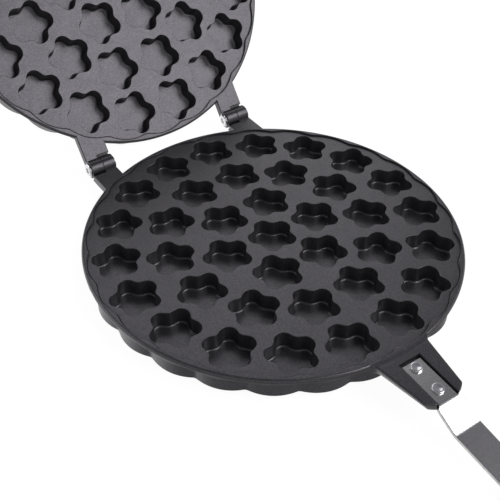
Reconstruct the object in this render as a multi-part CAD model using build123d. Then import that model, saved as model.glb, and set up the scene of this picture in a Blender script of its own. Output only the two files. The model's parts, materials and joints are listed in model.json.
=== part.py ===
from build123d import *
import math
import os

# Egg waffle pan: two round cast plates with flower cells, hinged at the back
# and opened, each with a riveted strap handle and a moulded grip at the front.
#
# Row frame, millimetres: origin at the centre of the lower plate's underside,
# +Z up, +Y towards the hinges, -Y towards the handles. Each casting is drawn in
# its own frame first, with its parting face at z = 0 and its body below that.

# ---- plates ----------------------------------------------------------------
rim_diameter = 210.0        # outside of the flat rim
plate_height = 12.4         # parting face to underside
flange_thickness = 3.0      # rim flange that overhangs the lobed skirt
lobe_count = 25             # scallops round the skirt
lobe_valley_inset = 3.7     # rim edge to the skirt's inward points
lobe_depth = 2.5            # how far each scallop stands out
lobe_roundness = 0.7        # exponent of the scallop's cosine
lobe_chords = 4             # straight facets drawn per scallop
field_inset = 0.4           # web's edge, measured in from the skirt's outline
field_depth = 1.0           # rim down to the web between the cells

# ---- flower cells ----------------------------------------------------------
cell_counts = (1, 6, 12, 18)                 # the centre cell, then three rings
cell_ring_radii = (0.0, 29.8, 58.0, 86.7)    # to the cells' centres
cell_ring_turns = (0.0, 30.0, 15.0, 10.0)    # degrees from +Y to a ring's first cell
petal_count = 5
petal_tip_radius = 13.9     # centre of a cell to the end of a petal
petal_valley_radius = 10.6  # centre of a cell to the notch between petals
petal_chords = 3            # straight facets drawn per petal
cell_depth = 9.3            # web down to the cell's floor
cell_draft = 3.0            # degrees, so that the waffle lets go

# ---- hinges ----------------------------------------------------------------
hinge_spacing = 98.4        # between the middles of the two hinges
hinge_width = 16.0          # along the pin, both knuckles together
hinge_reach = 109.05        # centre of the plate to the pin's axis
knuckle_diameter = 10.8
knuckle_gap = 0.4           # side play between the two knuckles
knuckle_clearance = 1.3     # between a knuckle and the other arm, which is cut back square
arm_thickness = 5.0
closed_gap = 0.4            # left between the rims when the pan is shut
pin_diameter = 5.6
pin_clearance = 0.05        # radial, pin in knuckle
pin_head_diameter = 8.4
pin_head_thickness = 1.0
pin_end_play = 0.15         # under the head, beside the turning knuckle
pin_tail_diameter = 7.6
pin_tail_thickness = 0.7
open_angle = 130.2          # degrees from shut to the open stop

# ---- tongue that carries the strap ------------------------------------------
tongue_root_width = 33.0
tongue_end_width = 23.2
tongue_length = 30.9        # rim edge to the end of its two cheeks
tongue_corner_length = 2.8  # bevel on the outer end corners, along Y
tongue_corner_width = 4.4   # and across
tongue_overlap = 6.0        # how far the tongue runs in under the rim
tongue_top_drop = 0.3       # step down from the rim to the tongue's top
tongue_ramp_length = 2.0    # length of that step
tongue_top_slope = 3.0      # degrees, falling outwards
tongue_wall = 4.0           # upright part of its side
tongue_web = 3.0            # metal left under the strap, which the rivets clamp
tongue_under_taper = 30.0   # degrees, on the sides below the upright part
tongue_under_margin = 2.0   # underside of the plate up to the tapered part's lowest edge
tongue_root_fillet = 4.0
seat_inset = 4.8            # rim edge to the closed end of the strap's seat
seat_clearance = 0.7        # beside the tang
seat_end_gap = 1.5          # closed end of the seat to the tang

# ---- strap -------------------------------------------------------------------
strap_thickness = 2.0
tang_width = 12.0
strap_width = 15.8
strap_grip_width = 14.8
tang_drop = 1.65            # parting face down to the tang's top at its end
tang_slope = 3.2            # degrees, falling outwards
shoulder_gap = 0.75         # end of the tongue to the strap's shoulders
shoulder_radius = 2.0
crank_length = 12.9         # along Y, the steep part past the tongue
crank_drop = 6.2
neck_length = 32.4          # along Y, from the crank to the level part
neck_drop = 4.0
strap_bend_radius = 3.0
tang_in_grip = 62.0         # length of strap inside the grip
grip_start_gap = 5.0        # last bend of the strap to the grip's mouth

# ---- rivets ------------------------------------------------------------------
rivet_diameter = 4.0
rivet_clearance = 0.05      # radial, in the strap and the tongue
rivet_head_diameter = 6.2
rivet_head_height = 1.1
rivet_tail_diameter = 6.0
rivet_tail_height = 1.1
rivet_first = 3.6           # end of the tang to the first rivet
rivet_pitch = 14.4

# ---- grips -------------------------------------------------------------------
grip_length = 118.0
grip_neck_width = 21.0
grip_belly_width = 27.0
grip_end_width = 24.0
grip_thickness = 15.0
grip_belly_at = 55.0        # mouth of the grip to its widest part
grip_crown_radius = 16.0    # round outer side of the grip
grip_edge_radius = 2.0      # along the flat inner side
grip_face_above_strap = 6.0 # flat inner side above the strap's top
grip_slot_clearance = 0.1
hang_hole_diameter = 10.0
hang_hole_inset = 13.0      # end of the grip to the hole's centre
grip_screw_diameter = 4.0
grip_screw_head_diameter = 7.2
grip_screw_head_height = 2.4
grip_screw_inset = 42.0     # mouth of the grip to the screw
grip_screw_recess = 4.4     # outer side of the grip to the head's seat
grip_screw_bite = 3.2       # length of screw above the strap
grip_screw_clearance = 0.05
grip_screw_head_room = 0.4
grip_screw_end_gap = 0.4

# ---- places worked out from the sizes above ------------------------------------
rim_radius = rim_diameter / 2
knuckle_radius = knuckle_diameter / 2
pin_radius = pin_diameter / 2
axis_height = closed_gap / 2                       # above the parting face
tongue_end_y = -(rim_radius + tongue_length)
seat_y = -(rim_radius + seat_inset)
tang_end_y = seat_y - seat_end_gap
shoulder_y = tongue_end_y - shoulder_gap
slope = math.tan(math.radians(tang_slope))
grip_mouth_y = shoulder_y - crank_length - neck_length - grip_start_gap
grip_end_y = grip_mouth_y - grip_length


def tang_top(y):
    """Height of the tang's top face, in the casting's frame."""
    return -tang_drop + slope * (y - tang_end_y)


strap_top = [
    (tang_end_y, -tang_drop),
    (shoulder_y, tang_top(shoulder_y)),
    (shoulder_y - crank_length, tang_top(shoulder_y) - crank_drop),
    (shoulder_y - crank_length - neck_length, tang_top(shoulder_y) - crank_drop - neck_drop),
    (grip_mouth_y - tang_in_grip, tang_top(shoulder_y) - crank_drop - neck_drop),
]
strap_level = strap_top[-1][1]
grip_face = strap_level + grip_face_above_strap
rivet_ys = [tang_end_y - rivet_first - rivet_pitch * i for i in range(2)]
grip_screw_y = grip_mouth_y - grip_screw_inset
hinge_middles = (-hinge_spacing / 2, hinge_spacing / 2)


def polar(radius, degrees):
    """Point at an angle counter-clockwise from +X."""
    return (radius * math.cos(math.radians(degrees)), radius * math.sin(math.radians(degrees)))


def side_prism(points, width):
    """Closed outline in the YZ plane, pulled both ways along X."""
    return extrude(make_face(Plane.YZ * Polyline(*points, close=True)), width / 2, both=True)


def rod(radius, low, high):
    """Cylinder along Z between two heights."""
    return Pos(0, 0, low) * Cylinder(radius, high - low, align=(Align.CENTER, Align.CENTER, Align.MIN))


def upright(radius, y, low, high):
    """Cylinder along Z on the handle's centre line."""
    return Pos(0, y, 0) * rod(radius, low, high)


def along_x(radius, left, right):
    """Cylinder on the hinge axis between two places along X."""
    return Pos(left, hinge_reach, axis_height) * Rot(0, 90, 0) * rod(radius, 0, right - left)


def slab(left, right, near, far, low, high):
    """Box between two places on each axis."""
    centre = Pos((left + right) / 2, (near + far) / 2, (low + high) / 2)
    return centre * Box(right - left, far - near, high - low)


def rivet_places():
    """Frames on the tang's top, with +Z square to it."""
    return [Pos(0, y, tang_top(y)) * Rot(tang_slope, 0, 0) for y in rivet_ys]


# ---- casting -----------------------------------------------------------------
def lobed_outline(inset):
    """Scalloped closed line: radius = valley + depth * |cos|^roundness of the half angle."""
    steps = lobe_count * lobe_chords
    points = []
    for i in range(steps):
        angle = 360.0 * i / steps
        wave = abs(math.cos(math.radians(lobe_count * angle / 2))) ** lobe_roundness
        radius = rim_radius - lobe_valley_inset - inset + lobe_depth * wave
        points.append(polar(radius, 90.0 + angle))
    return make_face(Polyline(*points, close=True))


def flower_outline():
    """Five equal arcs through tip and valleys, each drawn as short chords of one circle."""
    half = 180.0 / petal_count
    valley_x, valley_y = polar(petal_valley_radius, half)
    centre = (petal_tip_radius**2 - petal_valley_radius**2) / (2 * (petal_tip_radius - valley_x))
    radius = petal_tip_radius - centre
    sweep = math.degrees(math.atan2(valley_y, valley_x - centre))
    points = []
    for petal in range(petal_count):
        turn = Rot(0, 0, 2 * half * petal)
        for i in range(petal_chords):
            x, y = polar(radius, -sweep + 2 * sweep * i / petal_chords)
            points.append((turn * Pos(centre + x, y)).position)
    return make_face(Polyline(*points, close=True))


def cell_places():
    """Every cell's centre and the direction that one of its petals points in."""
    places = []
    for count, radius, first in zip(cell_counts, cell_ring_radii, cell_ring_turns):
        for i in range(count):
            angle = 90.0 + first + 360.0 * i / count
            x, y = polar(radius, angle)
            turn = 90.0 if radius == 0 else angle + math.copysign(90.0, x)
            places.append(Pos(x, y, -field_depth) * Rot(0, 0, turn))
    return places


def tongue_polygon():
    """Tapered tongue from inside the rim to its bevelled end."""
    root, end = tongue_root_width / 2, tongue_end_width / 2
    spread = (root - end) / tongue_length
    inner = root + spread * tongue_overlap
    inner_y = -rim_radius + tongue_overlap
    cheek_y = tongue_end_y + tongue_corner_length
    cheek = end + spread * tongue_corner_length
    corner = cheek - tongue_corner_width
    points = [
        (-inner, inner_y), (-cheek, cheek_y), (-corner, tongue_end_y),
        (corner, tongue_end_y), (cheek, cheek_y), (inner, inner_y),
    ]
    return make_face(Polyline(*points, close=True))


def tongue_outline():
    """The tongue's plan with a fillet where each side runs into the rim."""
    joined = Circle(rim_radius) + tongue_polygon()
    corners = [
        v for v in joined.vertices()
        if v.Y < 0 and abs(math.hypot(v.X, v.Y) - rim_radius) < 0.01 and abs(v.X) < tongue_root_width
    ]
    joined = fillet(corners, tongue_root_fillet)
    window = Pos(0, -rim_radius) * Rectangle(2 * tongue_root_width, 4 * tongue_length)
    return joined & window - Circle(rim_radius - tongue_overlap)


def tongue():
    """Tongue with upright cheeks, a tapered underside and a top that falls outwards."""
    block = extrude(tongue_outline(), -tongue_wall)
    under = plate_height - tongue_wall - tongue_under_margin
    block += Pos(0, 0, -tongue_wall) * extrude(tongue_polygon(), -under, taper=tongue_under_taper)
    far_y = 2 * tongue_end_y
    ramp_y = -rim_radius - tongue_ramp_length
    far_z = -tongue_top_drop - math.tan(math.radians(tongue_top_slope)) * (ramp_y - far_y)
    above = side_prism(
        [(-rim_radius, plate_height), (-rim_radius, 0), (ramp_y, -tongue_top_drop),
         (far_y, far_z), (far_y, plate_height)],
        2 * tongue_root_width,
    )
    # The underside lies square to the rivets, one web below the strap.
    clamped = (strap_thickness + tongue_web) / math.cos(math.radians(tang_slope))
    below = side_prism(
        [(0, tang_top(0) - clamped), (far_y, tang_top(far_y) - clamped),
         (far_y, -2 * plate_height), (0, -2 * plate_height)],
        2 * tongue_root_width,
    )
    return block - above - below


def strap_seat():
    """What the tongue loses to take the tang: a slot open at its top and its outer end."""
    far_y = 2 * tongue_end_y
    floor = strap_thickness / math.cos(math.radians(tang_slope))
    return side_prism(
        [(seat_y, plate_height), (seat_y, tang_top(seat_y) - floor),
         (far_y, tang_top(far_y) - floor), (far_y, plate_height)],
        tang_width + 2 * seat_clearance,
    )


def rivet_holes():
    """Holes square to the tang, right through whatever the rivets hold."""
    hole = rod(rivet_diameter / 2 + rivet_clearance, -plate_height, plate_height)
    return [place * hole for place in rivet_places()]


def hinge_arm(middle):
    """Arm flush with the parting face: a knuckle on its +X half, cut back on its -X half."""
    cut_back = hinge_reach - knuckle_radius - knuckle_clearance
    left, right = middle - hinge_width / 2, middle + hinge_width / 2
    split = middle + knuckle_gap / 2
    root = math.sqrt(rim_radius**2 - (abs(middle) + hinge_width / 2) ** 2) - flange_thickness
    full = slab(left, right, root, cut_back, -arm_thickness, 0)
    half = slab(split, right, root, hinge_reach, -arm_thickness, 0)
    return full + half + along_x(knuckle_radius, split, right)


def casting():
    """One whole plate with its parting face at z = 0."""
    body = extrude(lobed_outline(0), -plate_height)
    body += extrude(Circle(rim_radius), -flange_thickness)
    body += tongue()
    bores = []
    for middle in hinge_middles:
        body += hinge_arm(middle)
        bores.append(along_x(pin_radius + pin_clearance, middle - hinge_width, middle + hinge_width))
    field = extrude(lobed_outline(field_inset), -field_depth)
    cell = extrude(flower_outline(), -cell_depth, taper=cell_draft)
    cells = [place * cell for place in cell_places()]
    return body - [field, strap_seat()] - cells - bores - rivet_holes()


# ---- hinge pins ----------------------------------------------------------------
def hinge_pin(middle):
    """Rivet along X: its head at -X, its rolled-over tail at +X."""
    left = middle - hinge_width / 2 - pin_end_play
    right = middle + hinge_width / 2
    pin = along_x(pin_radius, left, right)
    pin += along_x(pin_head_diameter / 2, left - pin_head_thickness, left)
    return pin + along_x(pin_tail_diameter / 2, right, right + pin_tail_thickness)


# ---- handle --------------------------------------------------------------------
def strap():
    """Bent flat strap: narrow tang, shoulders, a crank down and a level end inside the grip."""
    top = FilletPolyline(*strap_top, radius=strap_bend_radius)
    profile = make_face(offset(top, strap_thickness, side=Side.LEFT, closed=True))
    bar = extrude(Plane.YZ * profile, strap_width, both=True)
    crank_end_y = strap_top[2][0]
    far_y = strap_top[-1][0]
    tang, wide, narrow = tang_width / 2, strap_width / 2, strap_grip_width / 2
    right = [
        (tang, tang_end_y), (tang, shoulder_y), (wide - shoulder_radius, shoulder_y),
        (wide, shoulder_y - shoulder_radius), (wide, crank_end_y), (narrow, grip_mouth_y), (narrow, far_y),
    ]
    left = [(-x, y) for x, y in reversed(right)]
    plan = extrude(make_face(Polyline(*right, *left, close=True)), 2 * grip_length, both=True)
    hole = grip_screw_diameter / 2 + grip_screw_clearance
    return (bar & plan) - rivet_holes() - upright(hole, grip_screw_y, -2 * grip_thickness, plate_height)


def strap_rivets():
    """Two solid rivets, square to the tang: head on the strap, tail under the tongue."""
    tail_seat = -strap_thickness - tongue_web
    rivet = rod(rivet_head_diameter / 2, 0, rivet_head_height)
    rivet += rod(rivet_diameter / 2, tail_seat, 0)
    rivet += rod(rivet_tail_diameter / 2, tail_seat - rivet_tail_height, tail_seat)
    return Compound([place * rivet for place in rivet_places()])


def grip():
    """Moulded grip: flat inner side, crowned outer side, waisted plan, hang hole and strap slot."""
    outer = grip_face - grip_thickness
    section = Pos(0, (grip_face + outer) / 2) * Rectangle(grip_belly_width, grip_thickness)
    section &= Pos(0, outer + grip_crown_radius) * Circle(grip_crown_radius)
    section = fillet(section.vertices().group_by(Axis.Y)[-1], grip_edge_radius)
    # Plane.XZ looks along +Y, so the section is pulled towards -Y from the mouth.
    bar = extrude(Plane.XZ.offset(-grip_mouth_y) * section, grip_length)
    neck, belly, end = grip_neck_width / 2, grip_belly_width / 2, grip_end_width / 2
    belly_y, round_y = grip_mouth_y - grip_belly_at, grip_end_y + end
    right = ThreePointArc((neck, grip_mouth_y), (belly, belly_y), (end, round_y))
    tip = ThreePointArc((end, round_y), (0, grip_end_y), (-end, round_y))
    left = ThreePointArc((-end, round_y), (-belly, belly_y), (-neck, grip_mouth_y))
    mouth = Line((-neck, grip_mouth_y), (neck, grip_mouth_y))
    bar &= extrude(make_face([right, tip, left, mouth]), 4 * grip_thickness, both=True)
    slot = slab(
        -strap_grip_width / 2 - grip_slot_clearance, strap_grip_width / 2 + grip_slot_clearance,
        strap_top[-1][0] - grip_slot_clearance, grip_mouth_y,
        strap_level - strap_thickness - grip_slot_clearance, strap_level + grip_slot_clearance,
    )
    hole = upright(hang_hole_diameter / 2, grip_end_y + hang_hole_inset, outer, grip_face)
    head_room = grip_screw_head_diameter / 2 + grip_screw_head_room
    recess = upright(head_room, grip_screw_y, outer, outer + grip_screw_recess)
    shank = upright(grip_screw_diameter / 2 + grip_screw_clearance, grip_screw_y,
                    outer, strap_level + grip_screw_bite + grip_screw_end_gap)
    return bar - [slot, hole, recess, shank]


def grip_screw():
    """Pan-head screw from the crowned side, through the strap and into the inner half."""
    seat = grip_face - grip_thickness + grip_screw_recess
    head = upright(grip_screw_head_diameter / 2, grip_screw_y, seat - grip_screw_head_height, seat)
    shank = upright(grip_screw_diameter / 2, grip_screw_y, seat, strap_level + grip_screw_bite)
    return head + shank


# ---- assembly -------------------------------------------------------------------
at_hinge = Pos(0, hinge_reach, axis_height)
off_hinge = Pos(0, -hinge_reach, -axis_height)
lower_place = Pos(0, 0, plate_height)
upper_place = lower_place * at_hinge * Rot(-open_angle, 0, 0) * Rot(0, 180, 0) * off_hinge


def main():
    os.makedirs("parts", exist_ok=True)
    plate = casting()
    halves = {
        "plate": plate,
        "strap": strap(),
        "strap_rivets": strap_rivets(),
        "grip": grip(),
        "grip_screw": grip_screw(),
    }
    nodes = {}
    for name, shape in halves.items():
        nodes["lower_" + name] = lower_place * shape
        nodes["upper_" + name] = upper_place * shape
    for side, middle in zip(("left", "right"), hinge_middles):
        nodes[side + "_hinge_pin"] = lower_place * hinge_pin(middle)
    for name, shape in nodes.items():
        export_step(shape, "parts/" + name + ".step")
        print(name, "volume", round(shape.volume, 1))


if __name__ == "__main__":
    main()
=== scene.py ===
# %% [markdown]
# # An open egg waffle pan
# The pan is two cast plates with flower-shaped cells, hinged at the back, each
# with a riveted strap and a moulded grip. The frame brings the solids that fit
# and move. This lesson puts a finely shaped surface over each of them, works out
# every surface with numpy, and gives each metal and plastic its own finish.

# %% Load the frame
import json
import math

import bmesh
import bpy
import numpy as np
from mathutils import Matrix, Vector
from mathutils.geometry import delaunay_2d_cdt


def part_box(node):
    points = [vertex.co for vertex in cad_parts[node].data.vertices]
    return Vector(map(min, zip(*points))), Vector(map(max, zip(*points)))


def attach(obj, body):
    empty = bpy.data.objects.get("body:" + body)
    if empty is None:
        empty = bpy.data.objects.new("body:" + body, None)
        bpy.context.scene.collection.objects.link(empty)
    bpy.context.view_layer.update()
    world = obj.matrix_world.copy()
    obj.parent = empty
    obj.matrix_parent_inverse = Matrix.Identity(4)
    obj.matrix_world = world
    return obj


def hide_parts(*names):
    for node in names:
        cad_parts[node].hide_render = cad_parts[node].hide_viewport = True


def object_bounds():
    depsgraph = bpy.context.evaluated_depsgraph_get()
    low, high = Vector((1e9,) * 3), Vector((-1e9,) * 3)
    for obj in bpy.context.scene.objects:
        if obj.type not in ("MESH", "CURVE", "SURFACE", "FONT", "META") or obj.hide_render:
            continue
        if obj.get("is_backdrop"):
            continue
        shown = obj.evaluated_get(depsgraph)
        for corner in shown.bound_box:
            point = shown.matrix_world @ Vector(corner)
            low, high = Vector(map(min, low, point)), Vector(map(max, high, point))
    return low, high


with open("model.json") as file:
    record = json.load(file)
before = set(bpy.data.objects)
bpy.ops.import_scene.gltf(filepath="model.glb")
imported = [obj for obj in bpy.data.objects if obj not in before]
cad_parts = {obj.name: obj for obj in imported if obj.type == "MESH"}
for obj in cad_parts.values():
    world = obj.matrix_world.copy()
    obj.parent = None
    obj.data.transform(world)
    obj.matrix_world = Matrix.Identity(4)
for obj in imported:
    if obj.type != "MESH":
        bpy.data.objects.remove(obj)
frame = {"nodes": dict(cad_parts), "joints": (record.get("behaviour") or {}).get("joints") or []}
cad_low, cad_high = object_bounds()
MM = 0.001                  # every size below is in millimetres


def box_mm(node):
    """Lowest and highest corner of a solid, in millimetres."""
    low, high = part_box(node)
    return np.array(low) / MM, np.array(high) / MM


print("solids:", ", ".join(sorted(frame["nodes"])))

# %% [markdown]
# ## Camera
# A product shot looks down on the pan from the handle's left. A wide lens close up
# would swell the near edge, and a long one far off would flatten the cells, so a
# short telephoto stands about half a metre away. A small lens shift lets the lid
# and the handle run out of the frame without turning the camera.

# %% Camera
camera_place = (-222.8, -285.0, 322.0)
camera_pitch = 40.69        # degrees below the horizon
camera_yaw = 34.0           # degrees from the hinge's direction towards +X
sensor_width = 36.0
camera = bpy.data.objects.new("camera", bpy.data.cameras.new("camera"))
bpy.context.scene.collection.objects.link(camera)
camera.location = [v * MM for v in camera_place]
camera.rotation_euler = (math.radians(90 - camera_pitch), 0, math.radians(-camera_yaw))
camera.data.sensor_width = sensor_width
camera.data.lens = 61.79
camera.data.shift_x = 0.0472
camera.data.shift_y = -0.0314
bpy.context.scene.camera = camera
bpy.context.scene.view_settings.view_transform = "Standard"
print("camera stands", round(np.linalg.norm(camera_place)), "mm from the plate's centre")

# %% [markdown]
# ## Building blocks
# Every surface here is a grid of points: rows run along the shape, columns run
# across or round it. Bevel modifiers could round plain solids instead, but a grid
# puts each round exactly where the casting or the bar has it. Patches whose
# borders share points are welded into one closed mesh, so the light sees no seams.

# %% Grids, caps and welding
weld = 1e-5                 # mm, points closer than this become one


def grid(points, wrap=False):
    """Quads between neighbouring rows and columns; wrap joins the last column to the first."""
    rows, columns = points.shape[:2]
    index = np.arange(rows * columns).reshape(rows, columns)
    if wrap:
        index = np.hstack((index, index[:, :1]))
    corners = (index[:-1, :-1], index[:-1, 1:], index[1:, 1:], index[1:, :-1])
    return points.reshape(-1, 3), np.stack(corners, axis=-1).reshape(-1, 4)


def cap(ring):
    """One flat face across a closed ring of points."""
    return ring, np.arange(len(ring))[None, :]


def welded(patches):
    """Joins patches into one list of points and one of faces, without doubles or collapsed corners."""
    points = np.concatenate([p for p, _ in patches])
    keys = np.round(points / weld).astype(np.int64)
    _, first, merged = np.unique(keys, axis=0, return_index=True, return_inverse=True)
    merged = merged.reshape(-1)
    faces = []
    start = 0
    for p, f in patches:
        f = merged[f + start]
        start += len(p)
        kept = f != np.roll(f, -1, axis=1)
        count = kept.sum(axis=1)
        for corners in range(3, f.shape[1] + 1):
            some = count == corners
            faces += f[some][kept[some]].reshape(-1, corners).tolist()
    return points[first], faces


print("points closer than", weld, "mm are welded")

# %% [markdown]
# ## From patches to pieces
# A piece's place is written into its mesh, and its object stays at the origin,
# unturned, so that patterns and joints share one frame. Weighted normals keep flat
# faces flat right up to their rounded edges, which matters most on metal. Where
# parts rub on each other the surface is smoother, so a piece may carry one number
# per point, called polish, for its material to read.

# %% Pieces
crease = math.radians(40)   # edges sharper than this stay crisp


def new_piece(name, patches, place=None, polish=None):
    """Smooth mesh object from patches in mm; place moves the points, polish rates them from 0 to 1."""
    points, faces = welded(patches)
    worn = None if polish is None else polish(points)
    if place is not None:
        points = place(points)
    mesh = bpy.data.meshes.new(name)
    mesh.from_pydata((points * MM).tolist(), [], faces)
    shell = bmesh.new()
    shell.from_mesh(mesh)
    bmesh.ops.recalc_face_normals(shell, faces=shell.faces)
    shell.to_mesh(mesh)
    shell.free()
    if worn is not None:
        mesh.attributes.new("polish", "FLOAT", "POINT").data.foreach_set("value", worn.astype(np.float32))
    mesh.shade_smooth()
    mesh.set_sharp_from_angle(angle=crease)
    piece = bpy.data.objects.new(name, mesh)
    bpy.context.scene.collection.objects.link(piece)
    even = piece.modifiers.new("even shading", "WEIGHTED_NORMAL")
    even.keep_sharp = True
    print(f"{name}: {len(points)} points, {len(faces)} faces")
    return piece


def finish_piece(piece, body, node, material):
    """Hangs a piece on its body, lets it stand for its solid and gives it its finish."""
    piece.data.materials.append(material)
    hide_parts(node)
    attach(piece, body)


print("edges sharper than", round(math.degrees(crease)), "degrees stay crisp")

# %% [markdown]
# ## The two halves are one casting
# The upper half is the lower one turned face down about the line that runs from
# the handle to the hinge, then swung open about the pins. It could be modelled
# again in its open place, but both moves are plain turns, so one set of surfaces
# serves both halves and every change reaches both.

# %% Where the two halves sit
hinge = frame["joints"][0]
hinge_y, hinge_z = (v / MM for v in hinge["pos_m"][1:])
open_angle = math.radians(hinge["range_deg"][1])
closed_gap = 0.4            # between the rims when the pan is shut
parting_z = hinge_z - closed_gap / 2


def raised(points):
    """Casting frame, parting face at zero, to the place of the lower half."""
    return points + (0, 0, parting_z)


def swung(points):
    """Casting frame to the place of the open upper half: turned face down, then swung back."""
    across = -points[:, 0]
    away = points[:, 1] - hinge_y
    over = closed_gap / 2 - points[:, 2]
    cosine, sine = math.cos(open_angle), math.sin(open_angle)
    return np.column_stack((
        across,
        hinge_y + away * cosine + over * sine,
        hinge_z - away * sine + over * cosine,
    ))


halves = (("lower", "base", raised), ("upper", "lid", swung))
print("the lid opens by", round(math.degrees(open_angle), 1), "degrees")

# %% [markdown]
# ## Flower cells
# A cell is a five-petalled cup. A flower-shaped cutter could be taken out of the
# plate 37 times, but its lips would stay sharp. Here the mouth is a circle whose
# radius swells and shrinks five times a turn, and the cup's side is one profile: a
# small rounded lip, a wall with a little draft so that the waffle lets go, a fillet
# and a flat floor. That profile, carried inwards along the mouth's normals, gives
# all the rows of the grid.

# %% One cell as a function of turn and depth
mouth_radius = 12.6         # mean radius of the flower
petal_swell = 1.62          # how far petals reach past the mean
petal_square = 0.24         # flattens the tips and rounds the notches
petals = 5
cell_columns = 60
field_depth = 1.0           # rim down to the web between the cells
cell_depth = 9.3            # web down to the floor
draft = math.radians(3.0)
lip_radius = 0.3
lip_steps = 5
floor_fillet = 1.4
fillet_steps = 6
floor_shares = np.array([0.66, 0.33, 0.0])  # rows on the flat floor, as shares of its outline


def flower(turn):
    """Radius = mean + swell cos 5a - square cos 10a; gives the line and its outward normals."""
    radius = mouth_radius + petal_swell * np.cos(petals * turn) - petal_square * np.cos(2 * petals * turn)
    slope = petals * (2 * petal_square * np.sin(2 * petals * turn) - petal_swell * np.sin(petals * turn))
    out = np.column_stack((np.cos(turn), np.sin(turn)))
    side = np.column_stack((-np.sin(turn), np.cos(turn)))
    tangent = slope[:, None] * out + radius[:, None] * side
    normal = np.column_stack((tangent[:, 1], -tangent[:, 0])) / np.linalg.norm(tangent, axis=1)[:, None]
    return radius[:, None] * out, normal


def cup_profile():
    """(inset, height) down the cup's side: lip arc, drafted wall, floor fillet."""
    lip = np.linspace(0, math.pi / 2 - draft, lip_steps)
    foot = np.linspace(draft, math.pi / 2, fillet_steps)
    lip_inset, lip_height = lip_radius * np.sin(lip), lip_radius * (np.cos(lip) - 1)
    foot_height = floor_fillet * (1 - np.sin(foot)) - cell_depth
    wall = (lip_height[-1] - foot_height[0]) * math.tan(draft)
    foot_inset = lip_inset[-1] + wall + floor_fillet * (math.cos(draft) - np.cos(foot))
    return np.append(lip_inset, foot_inset), np.append(lip_height, foot_height)


def cell_grid():
    """Rows follow the profile inwards along the mouth's normals, then shrink to the centre."""
    turn = np.linspace(0, 2 * math.pi, cell_columns, endpoint=False)
    line, normal = flower(turn)
    inset, height = cup_profile()
    side = line[None] - inset[:, None, None] * normal[None]
    floor = floor_shares[:, None, None] * side[-1][None]
    plan = np.concatenate((side, floor))
    depth = np.append(height, np.full(len(floor_shares), -cell_depth)) - field_depth
    level = np.broadcast_to(depth[:, None, None], (*plan.shape[:2], 1))
    return np.concatenate((plan, level), axis=2)


cup = cell_grid()
print("a cup has", cup.shape[0], "rows of", cup.shape[1], "points")

# %% [markdown]
# ## Rings of cells
# The cells stand in three rings round a middle one, and each turns a petal along
# its ring. An array modifier could place them, but its copies couldn't share
# points with the web round them, so each cup is turned and moved as an array.

# %% Every cell of a plate
cell_rings = ((1, 0.0, 0.0), (6, 29.8, 30.0), (12, 58.0, 15.0), (18, 86.7, 10.0))  # count, radius, turn


def cell_grids():
    """The cup turned so that a petal points along its ring, and moved to its centre, for every cell."""
    cups = []
    for count, radius, first in cell_rings:
        for number in range(count):
            angle = 90 + first + 360 * number / count
            x, y = (radius * f(math.radians(angle)) for f in (math.cos, math.sin))
            turn = math.radians(90 if radius == 0 else angle + math.copysign(90, x))
            spin = np.array([[math.cos(turn), math.sin(turn)], [-math.sin(turn), math.cos(turn)]])
            moved = cup.copy()
            moved[..., :2] = cup[..., :2] @ spin + (x, y)
            cups.append(moved)
    return cups


cups = cell_grids()
print(len(cups), "cells a plate")

# %% [markdown]
# ## Plate
# Round the cells lies a flat web, one step below the rim. The step and the skirt
# both follow a scalloped line: a circle plus a wave with broad crests and narrow
# notches. A bevelled prism could stand for it, but a cast rim has no flat facets:
# its edge rolls over and runs out into the skirt. So the step, the rim, the skirt
# and the underside are one profile, swept once round.

# %% Sizes of the plate and its scalloped line
rim_radius = box_mm("lower_plate")[1][0]
plate_height = parting_z
rim_edge, rim_drop = 1.4, 1.9   # the rim's outer edge rolls over, farther down than in
skirt_top = 5.0             # down to here the rim blends into the skirt
skirt_edge = 0.5
scallops = 25
columns_per_scallop = 24
crest_inset = 1.2
notch_power = 0.35          # below 1, the crests are broad and the notches narrow
scallop_depth, skirt_softness = 2.5, 0.015
field_scallop, field_softness = 1.9, 0.07   # the field's line runs shallower round the notches
round_turn = np.linspace(0, 2 * math.pi, scallops * columns_per_scallop, endpoint=False) + math.pi / 2


def scalloped(turn, depth, softness):
    """Radius = crest - depth * (1 - wave); wave is cos squared of half the phase, to the notch power."""
    wave = (np.cos(scallops * (turn - math.pi / 2) / 2) ** 2 + softness) ** notch_power
    least, most = softness ** notch_power, (1 + softness) ** notch_power
    return rim_radius - crest_inset - depth * (most - wave) / (most - least)


def ring(radius, height):
    """A closed row of points; radius may change with the turn."""
    radius = np.broadcast_to(radius, round_turn.shape)
    return np.column_stack((
        radius * np.cos(round_turn), radius * np.sin(round_turn), np.full(len(round_turn), float(height)),
    ))


def quarter(steps=5):
    """Sine and one-minus-cosine of a quarter turn, for rounding edges."""
    angle = np.linspace(0, math.pi / 2, steps)
    return list(zip(np.sin(angle), 1 - np.cos(angle)))


def eased(share):
    """0 to 1 with level ends: three squares less two cubes."""
    return share * share * (3 - 2 * share)


print("the rim is", round(2 * rim_radius, 1), "mm across with", len(round_turn), "columns")

# %% [markdown]
# ## Step, rim, skirt and underside
# A shallow groove runs along the foot of the step, where batter would gather. The
# profile climbs out of it, rounds over the lip on to the rim, rolls over the outer
# edge, eases back into the scalloped skirt and turns in under the plate.

# %% The profile, swept round
step_inset = 0.4
step_run = 0.14             # the step leans by this much
step_lip = 0.12
step_groove = 0.35          # depth of the groove along the foot of the step
groove_line = ((0.8, 0.0), (0.65, 0.3), (0.45, 0.9), (0.2, 1.0), (0.0, 0.9))  # inwards, share of depth
blend_rows = 10
under_shares = (0.7, 0.35, 0.0)             # rows below the plate, as shares of its outline


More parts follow.
